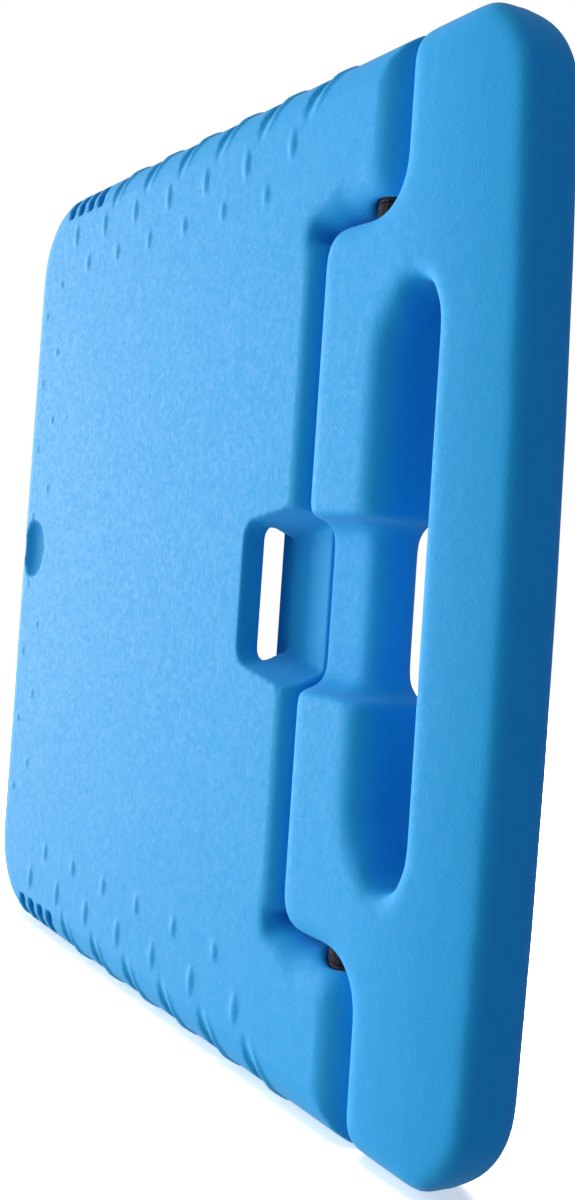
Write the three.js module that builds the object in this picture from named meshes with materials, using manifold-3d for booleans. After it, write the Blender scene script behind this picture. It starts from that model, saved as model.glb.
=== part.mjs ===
// Soft foam case for a ten-inch tablet, with a carrying handle that folds back into a stand.
// The case stands on one short side: x runs from the lens edge to the grip bar, y from the
// back (low) to the screen side (high), and z up. Millimetres.
import * as THREE from "three";
import { mergeVertices } from "three/addons/utils/BufferGeometryUtils.js";
import Module from "manifold-3d";

// The tablet that the case is moulded around.
const tabletLength = 243.4;
const tabletWidth = 176.4;
const tabletThickness = 8;
const tabletCornerRadius = 12;
const tabletClearance = 0.4;

// Foam around the tablet.
const sideFoam = 17.9;
const lensEdgeFoam = 14;
const portEdgeFoam = 23.4;
const backFoam = 6;
const lipFoam = 9.6;
const lipOverlap = 8;
const lipEdgeRound = 3;
const caseCornerRadius = 32;
const backEdgeRound = 11;
const frontEdgeRound = 7;

// Legs beside the handle.
const legWidth = 44.5;
const legCornerRound = 11;
const legCornerRun = 14;
const legCornerFlare = 0.14;
const legRootRound = 8;
const bumperEdgeRound = 6;
const bumperFrontRound = 4;

// Handle.
const tongueReach = 21.5;
const tongueBeyondAxis = 12.3;
const tongueCornerRound = 8.3;
const tongueEdgeRound = 4;
const wingRootRound = 12.6;
const sideGap = 2;
const wingGap = 1.5;
const swingClearance = 0.4;
const slotWidth = 18;
const slotEndMargin = 65.6;
const slotEndReach = 12;
const slotMouthStep = 7;
const slotTongueRound = 8;
const slotBarRound = 4;
const gripBarWidth = 28.5;
const handleCornerRadius = 24;
const handleEndRound = 3;
const handleFrontRound = 8.5;
const handleBow = 3;
const gripCurveDrop = 4.6;

// Port pocket in the body and cable channel across the handle's tongue.
const portOffset = -6.2;
const pocketLength = 29;
const pocketNarrow = 40;
const pocketWide = 50;
const pocketTaper = 5.5;
const pocketDepth = 11.7;
const channelOffset = -7.25;
const channelDepth = 9.5;
const channelNarrow = 37;
const channelWide = 46;
const channelWall = 3.6;
const channelBend = 7.5;

// Lens scoop in the back and speaker slots through the two short sides.
const lensOffset = 1.5;
const lensScoopRadius = 11;
const lensScoopDepth = 5;
const lensHoleRadius = 4.5;
const lensFromTabletEdge = 4;
const speakerSlots = 4;
const speakerSlotWidth = 4.4;
const speakerSlotLength = 15;
const speakerSlotDepth = 12;
const speakerSlotPitch = 9;
const firstSpeakerSlot = 33;

// Hinge parts, one set in each leg.
const pinRadius = 4;
const pinHeadExtra = 0.5;
const pinInBush = 20;
const pinInHandle = 15.5;
const runningClearance = 0.3;
const bushWall = 2;
const bushBottom = 2;
const bushDepth = 22.5;
const flangeRadius = 7.2;
const flangeInset = 2.3;
const flangeThickness = 1.6;
const anchorLength = 17.5;
const anchorRibThickness = 2;
const foamGap = 0.3;

// Sizes that follow from the ones above.
const caseHeight = tabletLength + 2 * (tabletClearance + sideFoam);
const wellStart = lensEdgeFoam;
const wellEnd = wellStart + tabletWidth + 2 * tabletClearance;
const bumperEdge = wellEnd + portEdgeFoam;
const wellDepth = tabletThickness + tabletClearance;
const caseThickness = backFoam + wellDepth + lipFoam;
const halfThickness = caseThickness / 2;
const wellBack = backFoam - halfThickness;
const wellFront = wellBack + wellDepth;
const tongueCorner = halfThickness - tongueEdgeRound;
const tongueSweep = Math.hypot(tongueReach - tongueEdgeRound, tongueCorner) + tongueEdgeRound;
const hingeX = bumperEdge + swingClearance + tongueSweep;
const legEnd = hingeX + halfThickness;
const wingEdge = legEnd + wingGap;
const tongueStart = hingeX - tongueReach;
const slotStart = hingeX + tongueBeyondAxis;
const slotEnd = slotStart + slotWidth;
const overallReach = slotEnd + gripBarWidth;
const tongueSide = legWidth + sideGap;
const portCentre = caseHeight / 2 + portOffset;
const channelCentre = caseHeight / 2 + channelOffset;
const channelWallX = hingeX + channelWall;
const channelFrontRound = 0.97 * (caseThickness - channelDepth - channelBend);

// Distance that a cutting or trimming shape runs past the foam, and the hair's breadth by
// which faces that would otherwise coincide are kept apart.
const beyond = 50;
const hair = 0.03;
const roundSteps = 4;
const arcSteps = 6;
const turnedSides = 24;

const wasm = await Module();
wasm.setup();

function solid(geometry) {
  const bare = geometry.index ? geometry.toNonIndexed() : geometry.clone();
  bare.deleteAttribute("normal");
  bare.deleteAttribute("uv");
  const merged = mergeVertices(bare, 1e-4);
  return new wasm.Manifold(
    new wasm.Mesh({
      numProp: 3,
      vertProperties: new Float32Array(merged.attributes.position.array),
      triVerts: new Uint32Array(merged.index.array),
    }),
  );
}

function geometryOf(body) {
  const mesh = body.getMesh();
  const geometry = new THREE.BufferGeometry();
  geometry.setAttribute("position", new THREE.BufferAttribute(mesh.vertProperties, 3));
  geometry.setIndex(new THREE.BufferAttribute(mesh.triVerts, 1));
  const faceted = geometry.toNonIndexed();
  faceted.computeVertexNormals();
  return faceted;
}

// A closed outline whose corners are [first, second, radius], each rounded by its own radius.
function roundedOutline(corners) {
  const outline = new THREE.Shape();
  corners.forEach(([a, b, radius = 0], index) => {
    const here = new THREE.Vector2(a, b);
    const last = corners[(index + corners.length - 1) % corners.length];
    const next = corners[(index + 1) % corners.length];
    const back = new THREE.Vector2(last[0], last[1]).sub(here).normalize();
    const ahead = new THREE.Vector2(next[0], next[1]).sub(here).normalize();
    const half = Math.acos(THREE.MathUtils.clamp(back.dot(ahead), -1, 1)) / 2;
    const start = here.clone().addScaledVector(back, radius / Math.tan(half));
    if (index === 0) outline.moveTo(start.x, start.y);
    else outline.lineTo(start.x, start.y);
    if (radius > 0) {
      const toCentre = back.clone().add(ahead).normalize();
      const centre = here.clone().addScaledVector(toCentre, radius / Math.sin(half));
      const end = here.clone().addScaledVector(ahead, radius / Math.tan(half));
      const from = Math.atan2(start.y - centre.y, start.x - centre.x);
      const to = Math.atan2(end.y - centre.y, end.x - centre.x);
      outline.absarc(centre.x, centre.y, radius, from, to, back.cross(ahead) > 0);
    }
  });
  outline.closePath();
  return outline;
}

function roundedRectangle(x0, z0, x1, z1, radius) {
  return roundedOutline([
    [x0, z0, radius],
    [x1, z0, radius],
    [x1, z1, radius],
    [x0, z1, radius],
  ]);
}

// Plan outlines are drawn in x and z and extruded along y. The edge round shrinks the two end
// faces; a negative round flares them out instead, as the mouth of a soft-edged hole.
function planSlab(outline, yLow, yHigh, round, grow = 0) {
  const size = Math.abs(round);
  const geometry = new THREE.ExtrudeGeometry(outline, {
    depth: yHigh - yLow - 2 * size,
    bevelEnabled: size > 0 || grow > 0,
    bevelThickness: size,
    bevelSize: round,
    bevelOffset: grow - round,
    bevelSegments: roundSteps,
    curveSegments: arcSteps,
  });
  geometry.rotateX(Math.PI / 2);
  geometry.translate(0, yHigh - size, 0);
  return solid(geometry);
}

// A slab of the full thickness whose back and front edges have rounds of their own.
function softSlab(outline, backRound, frontRound, spare) {
  const reach = halfThickness + spare;
  const back = planSlab(outline, -reach, reach + beyond, backRound, spare);
  const front = planSlab(outline, -reach - beyond, reach, frontRound, spare + hair);
  return back.intersect(front);
}

// A section drawn in x and y, extruded along z.
function upright(outline, zLow, zHigh) {
  const geometry = new THREE.ExtrudeGeometry(outline, {
    depth: zHigh - zLow,
    bevelEnabled: false,
    curveSegments: arcSteps,
  });
  geometry.translate(0, 0, zLow);
  return solid(geometry);
}

// A body of revolution about the hinge axis. Its profile is [radius, height above the base];
// the upper set is the lower one turned over.
function turned(profile, side) {
  const points = profile.map(([radius, height]) => new THREE.Vector2(radius, height));
  const geometry = new THREE.LatheGeometry(points, turnedSides);
  geometry.rotateX(Math.PI / 2);
  if (side === "upper") {
    geometry.rotateX(Math.PI);
    geometry.translate(0, 0, caseHeight);
  }
  geometry.translate(hingeX, 0, 0);
  return solid(geometry);
}

const bushInner = pinRadius + runningClearance;
const bushOuter = bushInner + bushWall;
const bushMouth = legWidth - flangeInset;
const bushBase = bushMouth - bushDepth;
const headRadius = pinRadius + pinHeadExtra;
const pinStart = bushMouth - pinInBush;
const headEnd = pinStart + 5;

// The bush is a flanged cup with a groove near its bottom for the pin's snap head.
function bushProfile(grow) {
  return [
    [0, bushBase - grow],
    [bushOuter + grow, bushBase - grow],
    [bushOuter + grow, bushMouth - flangeThickness - grow],
    [flangeRadius + grow, bushMouth - flangeThickness - grow],
  ];
}

function hingeBush(side) {
  const groove = headRadius + runningClearance;
  return turned(
    [
      ...bushProfile(0),
      [flangeRadius, bushMouth],
      [bushInner, bushMouth],
      [bushInner, headEnd + 1.2],
      [groove, headEnd + 0.6],
      [groove, pinStart + 1.2],
      [bushInner, pinStart + 0.6],
      [bushInner, bushBase + bushBottom],
      [0, bushBase + bushBottom],
    ],
    side,
  );
}

function bushRecess(side) {
  const mouth = legWidth + 1;
  return turned([...bushProfile(foamGap), [flangeRadius + foamGap, mouth], [0, mouth]], side);
}

function hingePin(side) {
  const end = tongueSide + pinInHandle;
  return turned(
    [
      [0, pinStart],
      [pinRadius - 0.8, pinStart],
      [headRadius, pinStart + 1.8],
      [headRadius, headEnd - 0.8],
      [pinRadius, headEnd],
      [pinRadius, end - 0.6],
      [pinRadius - 0.6, end],
      [0, end],
    ],
    side,
  );
}

// The washer fills the gap between the bush's flange and the anchor's.
function hingeWasher(side) {
  const start = bushMouth + foamGap;
  const end = tongueSide - foamGap;
  return turned(
    [
      [bushInner, start],
      [flangeRadius, start],
      [flangeRadius, end],
      [bushInner, end],
      [bushInner, start],
    ],
    side,
  );
}

// The anchor is a sleeve with a flange at the tongue's side and a rib that the foam grips.
function anchorProfile(grow) {
  const flange = tongueSide + flangeThickness + grow;
  const ribStart = tongueSide + anchorLength / 2 - grow;
  const ribEnd = ribStart + anchorRibThickness + 2 * grow;
  return [
    [flangeRadius + grow, flange],
    [bushOuter + grow, flange],
    [bushOuter + grow, ribStart],
    [flangeRadius + grow, ribStart],
    [flangeRadius + grow, ribEnd],
    [bushOuter + grow, ribEnd],
    [bushOuter + grow, tongueSide + anchorLength + grow],
  ];
}

function hingeAnchor(side) {
  return turned(
    [
      [bushInner, tongueSide],
      [flangeRadius, tongueSide],
      ...anchorProfile(0),
      [bushInner, tongueSide + anchorLength],
      [bushInner, tongueSide],
    ],
    side,
  );
}

function anchorRecess(side) {
  const mouth = bushMouth;
  const end = tongueSide + anchorLength + foamGap;
  return turned([[0, mouth], [flangeRadius + foamGap, mouth], ...anchorProfile(foamGap), [0, end]], side);
}

// Outer shape of the whole case in plan, much longer than the body so that it rounds only the
// lens edge and the two short sides.
function bodyEnvelope() {
  const outline = roundedRectangle(0, 0, overallReach + beyond, caseHeight, caseCornerRadius);
  return softSlab(outline, backEdgeRound, frontEdgeRound, 0);
}

// The bumper edge and the two legs that reach past it, soft along the groove.
function bodyGroove() {
  const end = legEnd + hair;
  const outline = roundedOutline([
    [-beyond, -beyond],
    [end, -beyond],
    [end, legWidth, legCornerRound],
    [bumperEdge, legWidth, legRootRound],
    [bumperEdge, caseHeight - legWidth, legRootRound],
    [end, caseHeight - legWidth, legCornerRound],
    [end, caseHeight + beyond],
    [-beyond, caseHeight + beyond],
  ]);
  return softSlab(outline, bumperEdgeRound, bumperFrontRound, hair);
}

// The back of each leg's end is a quarter round about the hinge axis, so that the wing's
// inner edge can turn round it.
function knuckleRound() {
  const back = -halfThickness - 2 * hair;
  const outline = roundedOutline([
    [-beyond, back],
    [legEnd, back, halfThickness],
    [legEnd, beyond],
    [-beyond, beyond],
  ]);
  return upright(outline, -beyond, caseHeight + beyond);
}

// What lies outside the leg's inner corner, as [distance from the hinge axis, height].
function legCornerOutline() {
  const edge = halfThickness + hair;
  const side = legWidth + hair;
  const low = legWidth - legCornerRound - 1;
  const high = legWidth + 3;
  const inner = halfThickness - legCornerRound - 0.5;
  const outer = halfThickness + 6;
  return roundedOutline([
    [outer, low],
    [outer, high],
    [inner, high],
    [inner, side],
    [edge, side, legCornerRound],
    [edge, low],
  ]);
}

// A stretch of that section along the leg's back, running towards the bumper edge from x and
// moving off the foam by the flare.
function legCornerStretch(side, x, length, flare) {
  const up = side === "lower" ? 1 : -1;
  const geometry = new THREE.ExtrudeGeometry(legCornerOutline(), {
    depth: length,
    bevelEnabled: false,
    curveSegments: arcSteps,
  });
  if (side === "upper") geometry.translate(0, 0, -length);
  const depthAxis = new THREE.Vector3(-up, -flare * up, flare);
  const turn = new THREE.Matrix4().makeBasis(
    new THREE.Vector3(0, -1, 0),
    new THREE.Vector3(0, 0, up),
    depthAxis,
  );
  geometry.applyMatrix4(turn);
  geometry.translate(x, 0, side === "lower" ? 0 : caseHeight);
  return solid(geometry);
}

// The leg's inner corner is rounded about the hinge axis, so that the wing's root can turn
// round it, and the rounding runs out along the leg's back.
function legCornerCuts(side) {
  const quarter = new THREE.BoxGeometry(beyond, beyond, 3 * caseHeight);
  quarter.translate(hingeX + beyond / 2, -beyond / 2, caseHeight / 2);
  const profile = legCornerOutline().getPoints(arcSteps).map((point) => [point.x, point.y]);
  const runStart = hingeX - halfThickness - wingGap;
  return [
    turned(profile, side).intersect(solid(quarter)),
    legCornerStretch(side, hingeX, hingeX - runStart, 0),
    legCornerStretch(side, runStart, legCornerRun, legCornerFlare),
  ];
}

function tabletWell() {
  const low = sideFoam;
  const high = caseHeight - sideFoam;
  const outline = roundedRectangle(wellStart, low, wellEnd, high, tabletCornerRadius);
  return planSlab(outline, wellBack, wellFront, 0);
}

function screenOpening() {
  const low = sideFoam + lipOverlap;
  const high = caseHeight - low;
  const outline = roundedRectangle(
    wellStart + lipOverlap,
    low,
    wellEnd - lipOverlap,
    high,
    tabletCornerRadius - lipOverlap / 2,
  );
  return planSlab(outline, wellBack + 0.5, halfThickness + 2 * hair, -lipEdgeRound);
}

// The pocket narrows towards a ledge. The ledge slopes from the tablet's edge, where it is
// level with the tablet's front, to a shallower end at the bumper edge.
function portPocket() {
  const start = bumperEdge - pocketLength;
  const corner = bumperEdge - 2;
  const end = bumperEdge + beyond / 2;
  const ledge = wellFront - tabletClearance;
  const outline = roundedOutline([
    [start, portCentre - pocketNarrow / 2, pocketTaper + 0.5],
    [corner, portCentre - pocketWide / 2],
    [end, portCentre - pocketWide / 2],
    [end, portCentre + pocketWide / 2],
    [corner, portCentre + pocketWide / 2],
    [start, portCentre + pocketNarrow / 2, pocketTaper + 0.5],
  ]);
  const depth = ledge + halfThickness;
  const geometry = new THREE.ExtrudeGeometry(outline, {
    depth: 2,
    bevelThickness: depth,
    bevelSize: pocketTaper,
    bevelOffset: -pocketTaper,
    bevelSegments: 1,
    curveSegments: arcSteps,
  });
  geometry.rotateX(Math.PI / 2);
  geometry.translate(0, ledge - depth, 0);
  const shallow = pocketDepth - halfThickness;
  const wedge = roundedOutline([
    [wellEnd, ledge],
    [bumperEdge, shallow],
    [end + beyond, shallow],
    [end + beyond, beyond],
    [wellEnd, beyond],
  ]);
  return solid(geometry).subtract(upright(wedge, 0, caseHeight));
}

// A shallow dish over the lens, with a hole through to the tablet.
function lensScoop() {
  const x = wellStart + lensFromTabletEdge;
  const z = caseHeight / 2 + lensOffset;
  const dish = new THREE.SphereGeometry(1, 28, 16);
  dish.scale(lensScoopRadius, lensScoopDepth, lensScoopRadius);
  dish.translate(x, -halfThickness, z);
  const hole = new THREE.CylinderGeometry(lensHoleRadius, lensHoleRadius, 2 * backFoam, 24);
  hole.translate(x + lensHoleRadius, -halfThickness + backFoam / 2 + 1, z);
  return solid(dish).add(solid(hole));
}

// Slots cut at forty-five degrees through the rounded edge, down to the tablet's rim.
function speakerSlotCuts() {
  const halfWidth = speakerSlotWidth / 2;
  const halfLength = speakerSlotLength / 2;
  const slot = roundedRectangle(-halfWidth, -halfLength, halfWidth, halfLength, halfWidth - hair);
  const middle = backEdgeRound * (1 - Math.SQRT1_2);
  const cuts = [];
  for (let index = 0; index < speakerSlots; index += 1) {
    const x = firstSpeakerSlot + index * speakerSlotPitch;
    for (const side of [1, -1]) {
      const cut = new THREE.ExtrudeGeometry(slot, {
        depth: speakerSlotDepth + 10,
        bevelEnabled: false,
        curveSegments: 4,
      });
      cut.translate(0, 0, -10);
      cut.rotateX(side > 0 ? -Math.PI / 4 : Math.PI + Math.PI / 4);
      cut.translate(x, middle - halfThickness, side > 0 ? middle : caseHeight - middle);
      cuts.push(solid(cut));
    }
  }
  return cuts;
}

function caseBody() {
  let foam = bodyEnvelope().intersect(bodyGroove()).intersect(knuckleRound());
  const cuts = [tabletWell(), screenOpening(), portPocket(), lensScoop(), ...speakerSlotCuts()];
  for (const cut of cuts) foam = foam.subtract(cut);
  for (const side of ["lower", "upper"]) {
    for (const cut of [bushRecess(side), ...legCornerCuts(side)]) foam = foam.subtract(cut);
  }
  return foam;
}

// Outer outline of the handle, with a gently bowed end.
function handleEnvelope() {
  const corner = overallReach - handleBow;
  const radius = handleCornerRadius;
  const outline = new THREE.Shape();
  outline.moveTo(hingeX - beyond, 0);
  outline.lineTo(corner - radius, 0);
  outline.absarc(corner - radius, radius, radius, -Math.PI / 2, 0, false);
  outline.quadraticCurveTo(overallReach + handleBow, caseHeight / 2, corner, caseHeight - radius);
  outline.absarc(corner - radius, caseHeight - radius, radius, 0, Math.PI / 2, false);
  outline.lineTo(hingeX - beyond, caseHeight);
  outline.closePath();
  return softSlab(outline, handleEndRound, handleFrontRound, hair);
}

// Soft section along the two short sides, matching the body's.
function handleSides() {
  const reach = halfThickness + 2 * hair;
  const outline = roundedOutline([
    [0, -reach, backEdgeRound],
    [caseHeight, -reach, backEdgeRound],
    [caseHeight, reach, frontEdgeRound],
    [0, reach, frontEdgeRound],
  ]);
  const geometry = new THREE.ExtrudeGeometry(outline, {
    depth: overallReach + beyond,
    bevelEnabled: false,
    curveSegments: arcSteps,
  });
  geometry.rotateY(-Math.PI / 2);
  geometry.translate(overallReach + beyond, 0, 0);
  return solid(geometry);
}

// Tongue between the legs and wings past their ends.
function handleGroove() {
  const end = overallReach + beyond;
  const outline = roundedOutline([
    [tongueStart, tongueSide, tongueCornerRound],
    [wingEdge, tongueSide, wingRootRound],
    [wingEdge, -beyond],
    [end, -beyond],
    [end, caseHeight + beyond],
    [wingEdge, caseHeight + beyond],
    [wingEdge, caseHeight - tongueSide, wingRootRound],
    [tongueStart, caseHeight - tongueSide, tongueCornerRound],
  ]);
  return softSlab(outline, tongueEdgeRound, tongueEdgeRound, 0);
}

// A long opening whose two ends are half ellipses.
function ovalOutline(x0, x1, z0, z1) {
  const middle = (x0 + x1) / 2;
  const half = (x1 - x0) / 2;
  const outline = new THREE.Shape();
  outline.moveTo(x0, z0 + slotEndReach);
  outline.absellipse(middle, z0 + slotEndReach, half, slotEndReach, Math.PI, 2 * Math.PI, false);
  outline.absellipse(middle, z1 - slotEndReach, half, slotEndReach, 0, Math.PI, false);
  outline.closePath();
  return outline;
}

// The finger slot has a wide soft mouth on the tongue's side and a tighter one at the bar.
function fingerSlot() {
  const reach = halfThickness + 2 * hair;
  const low = slotEndMargin;
  const high = caseHeight - slotEndMargin;
  const wideEnd = slotEnd - slotTongueRound + slotBarRound;
  const wide = ovalOutline(slotStart, wideEnd, low + slotMouthStep, high - slotMouthStep);
  const narrow = ovalOutline(slotStart + 2, slotEnd, low, high);
  return planSlab(wide, -reach, reach, -slotTongueRound).add(
    planSlab(narrow, -reach, reach, -slotBarRound),
  );
}

// The channel runs over the tongue, round the bend and down the slot's wall, with sloping ends.
function cableChannel() {
  const floor = channelDepth - halfThickness;
  const front = halfThickness + hair;
  const outline = roundedOutline([
    [tongueStart - beyond, floor],
    [channelWallX, floor, channelBend],
    [channelWallX, front, channelFrontRound],
    [tongueStart - beyond, front],
    [tongueStart - beyond, beyond],
    [slotEnd - 1, beyond],
    [slotEnd - 1, -beyond],
    [tongueStart - beyond, -beyond],
  ]);
  const slope = (channelWide - channelNarrow) / 2;
  const geometry = new THREE.ExtrudeGeometry(outline, {
    depth: channelNarrow,
    bevelThickness: slope,
    bevelSize: channelDepth,
    bevelOffset: -channelDepth,
    bevelSegments: 3,
    curveSegments: arcSteps,
  });
  geometry.translate(0, 0, channelCentre - channelNarrow / 2);
  return solid(geometry);
}

// The back of the grip curves away towards its end.
function gripCurve() {
  const start = legEnd;
  const back = -halfThickness - hair;
  const low = back + gripCurveDrop;
  const outline = new THREE.Shape();
  outline.moveTo(start, back);
  outline.quadraticCurveTo((start + overallReach) / 2, back, overallReach, low);
  outline.lineTo(overallReach + beyond, low);
  outline.lineTo(overallReach + beyond, back - beyond);
  outline.lineTo(start, back - beyond);
  outline.closePath();
  return upright(outline, -beyond, caseHeight + beyond);
}

function handleBody() {
  let foam = handleGroove().intersect(handleEnvelope()).intersect(handleSides());
  for (const cut of [fingerSlot(), cableChannel(), gripCurve()]) foam = foam.subtract(cut);
  for (const side of ["lower", "upper"]) foam = foam.subtract(anchorRecess(side));
  return foam;
}

function piece(name, body, color, roughness) {
  const material = new THREE.MeshStandardMaterial({ color, roughness, metalness: 0 });
  const mesh = new THREE.Mesh(geometryOf(body), material);
  mesh.name = name;
  return mesh;
}

const foamBlue = 0x57b9f6;
const plasticDark = 0x2b3138;
const plasticBlack = 0x17191c;

const group = new THREE.Group();
group.name = "tablet_case";
group.add(piece("case_body", caseBody(), foamBlue, 0.75));
group.add(piece("handle", handleBody(), foamBlue, 0.75));
for (const side of ["lower", "upper"]) {
  group.add(piece("hinge_bush_" + side, hingeBush(side), plasticDark, 0.5));
  group.add(piece("hinge_pin_" + side, hingePin(side), plasticBlack, 0.45));
  group.add(piece("hinge_washer_" + side, hingeWasher(side), plasticBlack, 0.45));
  group.add(piece("hinge_anchor_" + side, hingeAnchor(side), plasticDark, 0.5));
}
for (const mesh of group.children) mesh.position.x = -overallReach / 2;

export default group;
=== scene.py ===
"""Soft foam case for a ten-inch tablet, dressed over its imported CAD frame.

The two foam mouldings are remeshed from their CAD solids, softened like moulded foam and
embossed with the grip pattern. The hinge parts keep their CAD shapes. Metres throughout, in
the frame of the part: x from the lens edge to the grip bar, y from the back to the screen,
z up.
"""
import math

import bmesh
import bpy
import numpy as np
from mathutils import Matrix, Vector


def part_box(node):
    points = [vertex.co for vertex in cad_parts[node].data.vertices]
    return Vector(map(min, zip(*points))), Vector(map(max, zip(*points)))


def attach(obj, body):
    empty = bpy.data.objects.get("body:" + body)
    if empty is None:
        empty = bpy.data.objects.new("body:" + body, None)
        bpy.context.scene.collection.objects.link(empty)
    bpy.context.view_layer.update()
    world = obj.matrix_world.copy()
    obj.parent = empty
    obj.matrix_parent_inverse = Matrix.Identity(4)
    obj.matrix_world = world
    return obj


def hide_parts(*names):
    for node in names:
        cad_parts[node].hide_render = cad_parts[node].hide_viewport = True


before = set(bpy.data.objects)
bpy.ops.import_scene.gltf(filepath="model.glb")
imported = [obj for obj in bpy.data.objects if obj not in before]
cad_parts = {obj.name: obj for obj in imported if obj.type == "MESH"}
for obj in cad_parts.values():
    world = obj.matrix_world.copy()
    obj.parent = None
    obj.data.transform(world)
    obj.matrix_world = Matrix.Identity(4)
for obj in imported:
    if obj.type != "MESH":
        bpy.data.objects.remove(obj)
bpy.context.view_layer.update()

MM = 0.001
scene = bpy.context.scene

# ---------------------------------------------------------------- sizes read from the frame
body_low, body_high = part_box("case_body")

LENS_EDGE = body_low.x
BACK = body_low.y
HEIGHT = body_high.z

# ---------------------------------------------------------------- foam skin
FOAM_VOXEL = 0.8 * MM
FOAM_SMOOTHING = 7
FOAM_FACES = 190_000
SMOOTHING_FACTOR = 0.5
SIDE_ROUND = 11 * MM
LEG_WIDTH = 44.5 * MM

# Further smoothing, of the whole handle and of the body's creases, and how far round a crease
# it reaches.
FURTHER_SMOOTHING = 70
CREASE_REACH = 9 * MM
CREASE_PEAK = 1.6
SHARE_LEVELS = 10


def welded_copy(node, name):
    """A new object with the CAD node's shape, its corners merged."""
    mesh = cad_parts[node].data.copy()
    mesh.name = name
    mesh.materials.clear()
    work = bmesh.new()
    work.from_mesh(mesh)
    bmesh.ops.remove_doubles(work, verts=work.verts, dist=1e-6)
    work.to_mesh(mesh)
    work.free()
    piece = bpy.data.objects.new(name, mesh)
    scene.collection.objects.link(piece)
    return piece


def with_modifier(piece, kind, **values):
    """Adds one modifier and applies it to the piece's mesh."""
    modifier = piece.modifiers.new(kind.lower(), kind)
    for key, value in values.items():
        setattr(modifier, key, value)
    evaluated = piece.evaluated_get(bpy.context.evaluated_depsgraph_get())
    mesh = bpy.data.meshes.new_from_object(evaluated)
    piece.modifiers.clear()
    old = piece.data
    piece.data = mesh
    bpy.data.meshes.remove(old)
    mesh.name = piece.name


def points_of(mesh):
    points = np.empty(len(mesh.vertices) * 3, np.float32)
    mesh.vertices.foreach_get("co", points)
    return points.reshape(-1, 3).astype(float)


def normals_of(mesh):
    normals = np.empty(len(mesh.vertices) * 3, np.float32)
    mesh.vertex_normals.foreach_get("vector", normals)
    return normals.reshape(-1, 3).astype(float)


def emboss(piece, height_of):
    """Moves each point along its normal by the height that height_of gives for its place."""
    mesh = piece.data
    points, normals = points_of(mesh), normals_of(mesh)
    moved = points + normals * height_of(points, normals)[:, None]
    mesh.vertices.foreach_set("co", moved.astype(np.float32).ravel())
    mesh.update()


def soften(piece, share_of, iterations):
    """Smooths the piece further where share_of gives a share above nought. A group without any
    weights would smooth all of the piece, so share_of has to reach some of its points."""
    group = piece.vertex_groups.new(name="soft")
    levels = np.round(share_of(points_of(piece.data)) * SHARE_LEVELS)
    for level in range(1, SHARE_LEVELS + 1):
        chosen = np.nonzero(levels == level)[0]
        group.add([int(index) for index in chosen], level / SHARE_LEVELS, "REPLACE")
    with_modifier(
        piece, "SMOOTH", factor=SMOOTHING_FACTOR, iterations=iterations, vertex_group="soft"
    )
    piece.vertex_groups.clear()


def foam_moulding(node, name, body, height_of, share_of=None):
    """A foam piece that stands for the CAD node and rides on the body. share_of says where it
    is smoothed further, which without it is everywhere. height_of embosses its skin."""
    piece = welded_copy(node, name)
    with_modifier(piece, "REMESH", mode="VOXEL", voxel_size=FOAM_VOXEL)
    with_modifier(piece, "SMOOTH", factor=SMOOTHING_FACTOR, iterations=FOAM_SMOOTHING)
    if share_of:
        soften(piece, share_of, FURTHER_SMOOTHING)
    else:
        with_modifier(piece, "SMOOTH", factor=SMOOTHING_FACTOR, iterations=FURTHER_SMOOTHING)
    emboss(piece, height_of)
    faces = sum(len(polygon.vertices) - 2 for polygon in piece.data.polygons)
    if faces > FOAM_FACES:
        with_modifier(piece, "DECIMATE", ratio=FOAM_FACES / faces)
    piece.data.polygons.foreach_set("use_smooth", [True] * len(piece.data.polygons))
    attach(piece, body)
    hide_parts(node)
    return piece


# ---------------------------------------------------------------- grip pattern
def over_the_side(points):
    """Two coordinates that wrap the back of the case: the distance from the lens edge, and the
    distance along the skin from the start of the nearer side rounding, positive down the side.
    The third value is how far a point lies off that skin."""
    across = points[:, 0] - LENS_EDGE
    inset = np.minimum(points[:, 2], HEIGHT - points[:, 2])
    depth = points[:, 1] - BACK
    angle = np.arctan2(SIDE_ROUND - inset, SIDE_ROUND - depth)
    radius = np.hypot(SIDE_ROUND - inset, SIDE_ROUND - depth)
    on_flat = inset >= SIDE_ROUND
    along = np.where(on_flat, SIDE_ROUND - inset, SIDE_ROUND * angle)
    off_skin = np.where(on_flat, depth, SIDE_ROUND - radius)
    side = ~on_flat & (depth >= SIDE_ROUND)
    along = np.where(side, SIDE_ROUND * math.pi / 2 + depth - SIDE_ROUND, along)
    off_skin = np.where(side, inset, off_skin)
    return across, along, off_skin


def oval(a, b, middle, half_a, half_b, slant=0.0):
    """How far inside a slanted oval each point lies, 1 in the middle and 0 at its rim, and
    where it lies across the oval, from -1 to 1."""
    offset_b = b - middle[1]
    offset_a = a - middle[0] - slant * offset_b
    across = offset_a / half_a
    return np.clip(1 - across**2 - (offset_b / half_b) ** 2, 0, None), across


SKIN_REACH = 0.8 * MM
PATTERN_PITCH = 26.3 * MM

# Slanted dimples over each side rounding: a dip towards the lens edge and a raised far edge.
DIMPLES = 6
FIRST_DIMPLE = (80.5 * MM, 9 * MM)
DIMPLE_HALF = (5.4 * MM, 13 * MM)
DIMPLE_SLANT = 0.5
DIMPLE_RELIEF = 2.6 * MM
DIMPLE_BALANCE = 0.16

# Rows of raised ovals beside the dimples: how many, first middle, half sizes, height.
OVAL_ROWS = (
    (7, (40 * MM, -8 * MM), (2.3 * MM, 4.8 * MM), 0.58 * MM),
    (6, (53 * MM, -20 * MM), (2.2 * MM, 3.4 * MM), 0.52 * MM),
)

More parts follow.
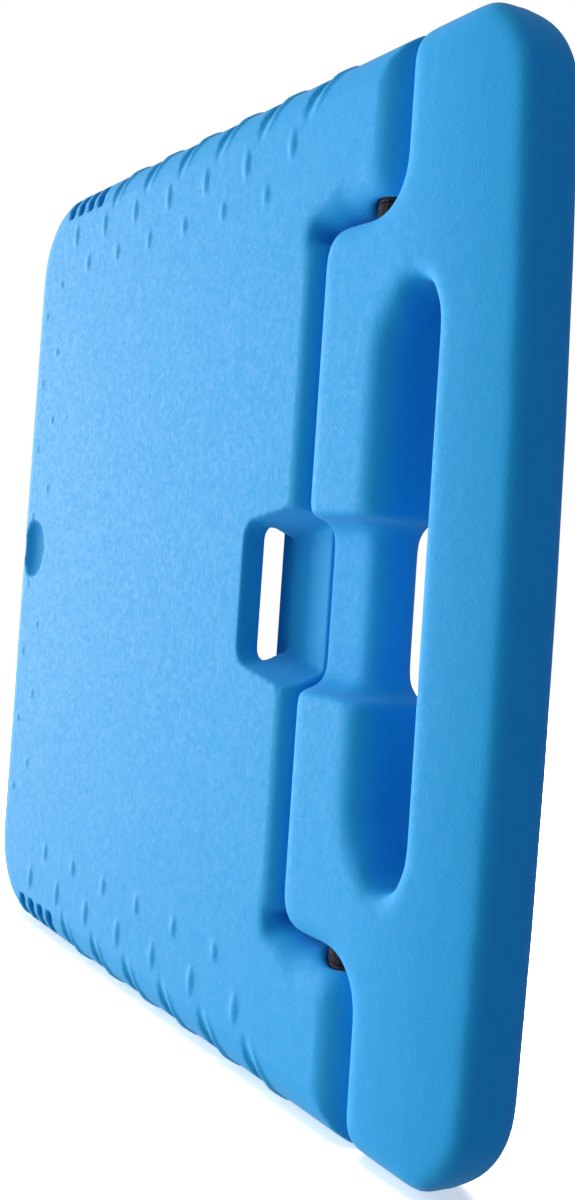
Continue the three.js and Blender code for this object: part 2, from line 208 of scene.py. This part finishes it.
# Rows of small bumps along the lens edge: distance from the edge, and from the top to the
# first bump.
BUMP_ROWS = ((28 * MM, 36 * MM), (15 * MM, 47 * MM))
BUMP_HALF = (1.7 * MM, 2 * MM)
BUMP_HEIGHT = 0.4 * MM
BUMP_END = 34 * MM


def grip_pattern(points, normals):
    a, b, off_skin = over_the_side(points)
    height = np.zeros(len(points))
    for index in range(DIMPLES):
        middle = (FIRST_DIMPLE[0] + index * PATTERN_PITCH, FIRST_DIMPLE[1])
        inside, across = oval(a, b, middle, *DIMPLE_HALF, slant=DIMPLE_SLANT)
        height += DIMPLE_RELIEF * inside * (across - DIMPLE_BALANCE)
    for count, first, half, rise in OVAL_ROWS:
        for index in range(count):
            middle = (first[0] + index * PATTERN_PITCH, first[1])
            inside, across = oval(a, b, middle, *half)
            height += rise * inside
    for column, first in BUMP_ROWS:
        place = first
        while place < HEIGHT - BUMP_END:
            inside, across = oval(a, points[:, 2], (column, HEIGHT - place), *BUMP_HALF)
            height += BUMP_HEIGHT * inside
            place += PATTERN_PITCH
    return np.where(np.abs(off_skin) < SKIN_REACH, height, 0)


LEG_ROOT_X = body_high.x - 30 * MM
LEG_ROOT_HALF = 10 * MM


def leg_roots(points):
    """The creases at the back of each leg's root."""
    inset = np.minimum(points[:, 2], HEIGHT - points[:, 2])
    across = np.clip(np.abs(points[:, 0] - LEG_ROOT_X) - LEG_ROOT_HALF, 0, None)
    away = np.sqrt(across**2 + (inset - LEG_WIDTH) ** 2 + (points[:, 1] - BACK) ** 2)
    return np.clip(CREASE_PEAK - away / CREASE_REACH, 0, 1)


PARTING_HEIGHT = 0.14 * MM
PARTING_WIDTH = 0.7 * MM
UPRIGHT = 0.35


def parting_line(points, normals):
    """The mould's parting line runs round the handle at the middle of its thickness."""
    upright = np.abs(normals[:, 1]) < UPRIGHT
    ridge = np.clip(1 - (points[:, 1] / PARTING_WIDTH) ** 2, 0, None)
    return np.where(upright, PARTING_HEIGHT * ridge, 0)


# ---------------------------------------------------------------- materials
class Shader:
    """A node material with a Principled shader, and short calls to wire nodes into it."""

    def __init__(self, name, roughness, **values):
        self.material = bpy.data.materials.new(name)
        self.material.use_nodes = True
        self.tree = self.material.node_tree
        self.principled = self.tree.nodes["Principled BSDF"]
        self.principled.inputs["Roughness"].default_value = roughness
        for key, value in values.items():
            self.principled.inputs[key].default_value = value
        self.place = self.node("ShaderNodeTexCoord").outputs["Object"]

    def node(self, kind, **values):
        made = self.tree.nodes.new(kind)
        for key, value in values.items():
            setattr(made, key, value)
        return made

    def link(self, source, target):
        self.tree.links.new(source, target)

    def noise(self, size, detail=2.0, roughness=0.5, stretch=None):
        """Noise with features about size metres across."""
        made = self.node("ShaderNodeTexNoise")
        made.inputs["Scale"].default_value = 1 / size
        made.inputs["Detail"].default_value = detail
        made.inputs["Roughness"].default_value = roughness
        place = self.place
        if stretch:
            mapping = self.node("ShaderNodeMapping")
            mapping.inputs["Scale"].default_value = stretch
            self.link(place, mapping.inputs["Vector"])
            place = mapping.outputs["Vector"]
        self.link(place, made.inputs["Vector"])
        return made.outputs["Fac"]

    def cells(self, size):
        made = self.node("ShaderNodeTexVoronoi", feature="SMOOTH_F1")
        made.inputs["Scale"].default_value = 1 / size
        self.link(self.place, made.inputs["Vector"])
        return made.outputs["Distance"]

    def span(self, source, low, high, to_low, to_high):
        made = self.node("ShaderNodeMapRange")
        made.inputs["From Min"].default_value = low
        made.inputs["From Max"].default_value = high
        made.inputs["To Min"].default_value = to_low
        made.inputs["To Max"].default_value = to_high
        self.link(source, made.inputs["Value"])
        return made.outputs["Result"]

    def blend(self, factor, first, second):
        made = self.node("ShaderNodeMix", data_type="RGBA")
        for source, socket in ((first, made.inputs[6]), (second, made.inputs[7])):
            if isinstance(source, tuple):
                socket.default_value = (*source, 1)
            else:
                self.link(source, socket)
        self.link(factor, made.inputs[0])
        return made.outputs[2]

    def bump(self, height, distance, strength=1.0, below=None):
        made = self.node("ShaderNodeBump")
        made.inputs["Strength"].default_value = strength
        made.inputs["Distance"].default_value = distance
        self.link(height, made.inputs["Height"])
        if below is not None:
            self.link(below, made.inputs["Normal"])
        return made.outputs["Normal"]


FOAM_BLUE = (0.013, 0.392, 0.860)
FOAM_BLUE_DEEP = (0.009, 0.360, 0.820)
# Paler blue for the painted highlight on convex edges, standing in for the sheen on the
# roundings.
FOAM_BLUE_EDGE_HIGHLIGHT = (0.080, 0.470, 0.900)


def foam_material():
    """Closed-cell foam with a moulded skin: a fine pebble, faint mottling, painted edge
    highlights.
    """
    foam = Shader(
        "moulded_foam",
        roughness=0.62,
        **{
            "Sheen Weight": 0.12,
            "Sheen Roughness": 0.42,
            "Sheen Tint": (0.75, 0.86, 1.0, 1),
            "Specular IOR Level": 0.14,
        },
    )
    mottled = foam.blend(
        foam.span(foam.noise(14 * MM, detail=3), 0.35, 0.65, 0, 0.22), FOAM_BLUE, FOAM_BLUE_DEEP
    )
    speckled = foam.blend(
        foam.span(foam.noise(0.9 * MM, detail=2), 0.45, 0.75, 0, 0.25), mottled, FOAM_BLUE_DEEP
    )
    # Pointier convex edges are painted paler: a painted highlight, not a colour of the foam.
    edges = foam.node("ShaderNodeNewGeometry").outputs["Pointiness"]
    edge_highlighted = foam.blend(foam.span(edges, 0.53, 0.62, 0, 0.3), speckled, FOAM_BLUE_EDGE_HIGHLIGHT)
    foam.link(edge_highlighted, foam.principled.inputs["Base Color"])
    roughness = foam.span(foam.noise(1.6 * MM, detail=3), 0.3, 0.7, 0.56, 0.7)
    foam.link(roughness, foam.principled.inputs["Roughness"])
    soft = foam.bump(foam.noise(5 * MM, detail=1), 0.25 * MM, 0.35)
    pebble = foam.bump(foam.cells(0.55 * MM), 0.07 * MM, 0.55, below=soft)
    grain = foam.bump(foam.noise(0.3 * MM, detail=1), 0.03 * MM, 0.5, below=pebble)
    foam.link(grain, foam.principled.inputs["Normal"])
    return foam.material


def plastic_material(name, pale, shade, roughness, grain):
    """Moulded plastic: faint flow marks along the length, a fine spark-eroded grain."""
    plastic = Shader(name, roughness=roughness, **{"Specular IOR Level": 0.2})
    flow = plastic.noise(3 * MM, detail=3, stretch=(1, 1, 0.25))
    colour = plastic.blend(plastic.span(flow, 0.3, 0.7, 0, 1), pale, shade)
    plastic.link(colour, plastic.principled.inputs["Base Color"])
    wear = plastic.noise(1.2 * MM, detail=4)
    worn = plastic.span(wear, 0.3, 0.7, roughness - 0.08, roughness + 0.1)
    plastic.link(worn, plastic.principled.inputs["Roughness"])
    ground = plastic.bump(plastic.noise(grain, detail=2), 0.02 * MM, 0.6)
    plastic.link(ground, plastic.principled.inputs["Normal"])
    return plastic.material


# Each kind of hinge part: material, light and dark shade, roughness, size of the grain.
HINGE_LOOKS = {
    "hinge_bush": (
        "bush_nylon", (0.014, 0.022, 0.034), (0.009, 0.015, 0.025), 0.7, 0.25 * MM,
    ),
    # The washer's near-black is painted shade: it stands for the dark shadowed gap at the leg
    # corner where it shows.
    "hinge_washer": (
        "washer_nylon_painted_shade", (0.008, 0.010, 0.014), (0.005, 0.006, 0.009), 0.8, 0.25 * MM,
    ),
    "hinge_pin": (
        "pin_acetal", (0.050, 0.055, 0.062), (0.035, 0.040, 0.048), 0.36, 0.2 * MM,
    ),
    "hinge_anchor": (
        "anchor_plastic", (0.030, 0.036, 0.042), (0.020, 0.024, 0.030), 0.5, 0.3 * MM,
    ),
}


def dress_hinges():
    for stem, (name, pale, shade, roughness, grain) in HINGE_LOOKS.items():
        material = plastic_material(name, pale, shade, roughness, grain)
        for side in ("lower", "upper"):
            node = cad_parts[f"{stem}_{side}"]
            node.data.materials.clear()
            node.data.materials.append(material)


# ---------------------------------------------------------------- studio
FLOOR_HALF = 12.0
FLOOR_DROP = 0.2 * MM
FLOOR_GLOW = 0.5
FLOOR_FADE = (0.7, 1.5)


def studio_floor():
    """A pale floor that fades into the white world. Only the camera sees it: it gives the case
    neither shadow nor bounce."""
    half = FLOOR_HALF
    mesh = bpy.data.meshes.new("studio_floor")
    corners = [(-half, -half, 0), (half, -half, 0), (half, half, 0), (-half, half, 0)]
    mesh.from_pydata(corners, [], [(0, 1, 2, 3)])
    floor = bpy.data.objects.new("studio_floor", mesh)
    scene.collection.objects.link(floor)
    floor.location.z = -FLOOR_DROP
    paint = Shader("floor_paint", roughness=0.9)
    patches = paint.span(paint.noise(0.4, detail=2), 0.3, 0.7, 0, 1)
    tint = paint.blend(patches, (0.90, 0.90, 0.90), (0.87, 0.87, 0.88))
    paint.link(tint, paint.principled.inputs["Base Color"])
    paint.principled.inputs["Emission Color"].default_value = (1, 1, 1, 1)
    paint.principled.inputs["Emission Strength"].default_value = FLOOR_GLOW
    reach = paint.node("ShaderNodeVectorMath", operation="LENGTH")
    paint.link(paint.place, reach.inputs[0])
    faded = paint.span(reach.outputs["Value"], *FLOOR_FADE, 1, 0)
    paint.link(faded, paint.principled.inputs["Alpha"])
    mesh.materials.append(paint.material)
    floor.visible_diffuse = False
    floor.visible_glossy = False
    floor.visible_shadow = False


def softbox(name, place, target, width, height, power, colour=(1, 1, 1)):
    light = bpy.data.lights.new(name, "AREA")
    light.shape = "RECTANGLE"
    light.size, light.size_y = width, height
    light.energy = power
    light.color = colour
    lamp = bpy.data.objects.new(name, light)
    scene.collection.objects.link(lamp)
    lamp.location = place
    lamp.rotation_euler = (Vector(target) - Vector(place)).to_track_quat("-Z", "Y").to_euler()
    return lamp


def studio_world():
    """White all round, dimmer towards the grip end and the screen side, which stay in shade."""
    world = bpy.data.worlds.new("studio_world")
    scene.world = world
    world.use_nodes = True
    tree = world.node_tree
    tree.nodes.clear()
    out = tree.nodes.new("ShaderNodeOutputWorld")
    place = tree.nodes.new("ShaderNodeTexCoord")
    split = tree.nodes.new("ShaderNodeSeparateXYZ")
    strength = tree.nodes.new("ShaderNodeMath")
    strength.operation = "MULTIPLY"
    for index, (axis, low, high, near, far) in enumerate(
        (("X", -0.35, 0.4, 0.92, 0.22), ("Y", -0.2, 0.6, 1.0, 0.3))
    ):
        fade = tree.nodes.new("ShaderNodeMapRange")
        fade.interpolation_type = "SMOOTHSTEP"
        fade.inputs["From Min"].default_value = low
        fade.inputs["From Max"].default_value = high
        fade.inputs["To Min"].default_value = near
        fade.inputs["To Max"].default_value = far
        tree.links.new(split.outputs[axis], fade.inputs["Value"])
        tree.links.new(fade.outputs["Result"], strength.inputs[index])
    lit = tree.nodes.new("ShaderNodeBackground")
    shown = tree.nodes.new("ShaderNodeBackground")
    shown.inputs["Strength"].default_value = 1.0
    rays = tree.nodes.new("ShaderNodeLightPath")
    mix = tree.nodes.new("ShaderNodeMixShader")
    links = tree.links
    links.new(place.outputs["Generated"], split.inputs[0])
    links.new(strength.outputs[0], lit.inputs["Strength"])
    links.new(rays.outputs["Is Camera Ray"], mix.inputs[0])
    links.new(lit.outputs[0], mix.inputs[1])
    links.new(shown.outputs[0], mix.inputs[2])
    links.new(mix.outputs[0], out.inputs["Surface"])
    for background in (lit, shown):
        background.inputs["Color"].default_value = (1, 1, 1, 1)


def studio_lights():
    centre = (0, 0, HEIGHT / 2)
    softbox("key_light", (-4.5, -2.0, 0.25), centre, 3.0, 3.0, 250)
    softbox("fill_light", (3.0, 1.0, 0.2), centre, 1.5, 1.5, 18, (0.30, 0.52, 1.0))
    floor_light = softbox("floor_light", (-0.2, 0.3, 2.4), (0, 0, 0), 2.5, 2.5, 220)
    lit = bpy.data.collections.new("lit_by_floor_light")
    lit.objects.link(bpy.data.objects["studio_floor"])
    floor_light.light_linking.receiver_collection = lit


def studio_camera():
    """Level with the middle of the case, looking along its back from beyond the grip."""
    data = bpy.data.cameras.new("photo_camera")
    data.lens = 41.4
    data.sensor_width = 36.0
    data.shift_y = -0.0723
    data.clip_start = 0.01
    camera = bpy.data.objects.new("photo_camera", data)
    scene.collection.objects.link(camera)
    ahead = Vector((-0.8563, 0.5154, 0.0338)).normalized()
    right = ahead.cross(Vector((-0.0061, -0.0756, 0.9971))).normalized()
    up = right.cross(ahead)
    turn = Matrix((right, up, -ahead)).transposed().to_4x4()
    camera.matrix_world = Matrix.Translation((0.38318, -0.20634, 0.14375)) @ turn
    scene.camera = camera


scene.view_settings.view_transform = "Standard"
studio_camera()
studio_world()
studio_floor()
studio_lights()

foam = foam_material()
for node, name, body, height_of, share_of in (
    ("case_body", "foam_body", "body", grip_pattern, leg_roots),
    ("handle", "foam_handle", "handle", parting_line, None),
):
    piece = foam_moulding(node, name, body, height_of, share_of)
    piece.data.materials.append(foam)
dress_hinges()
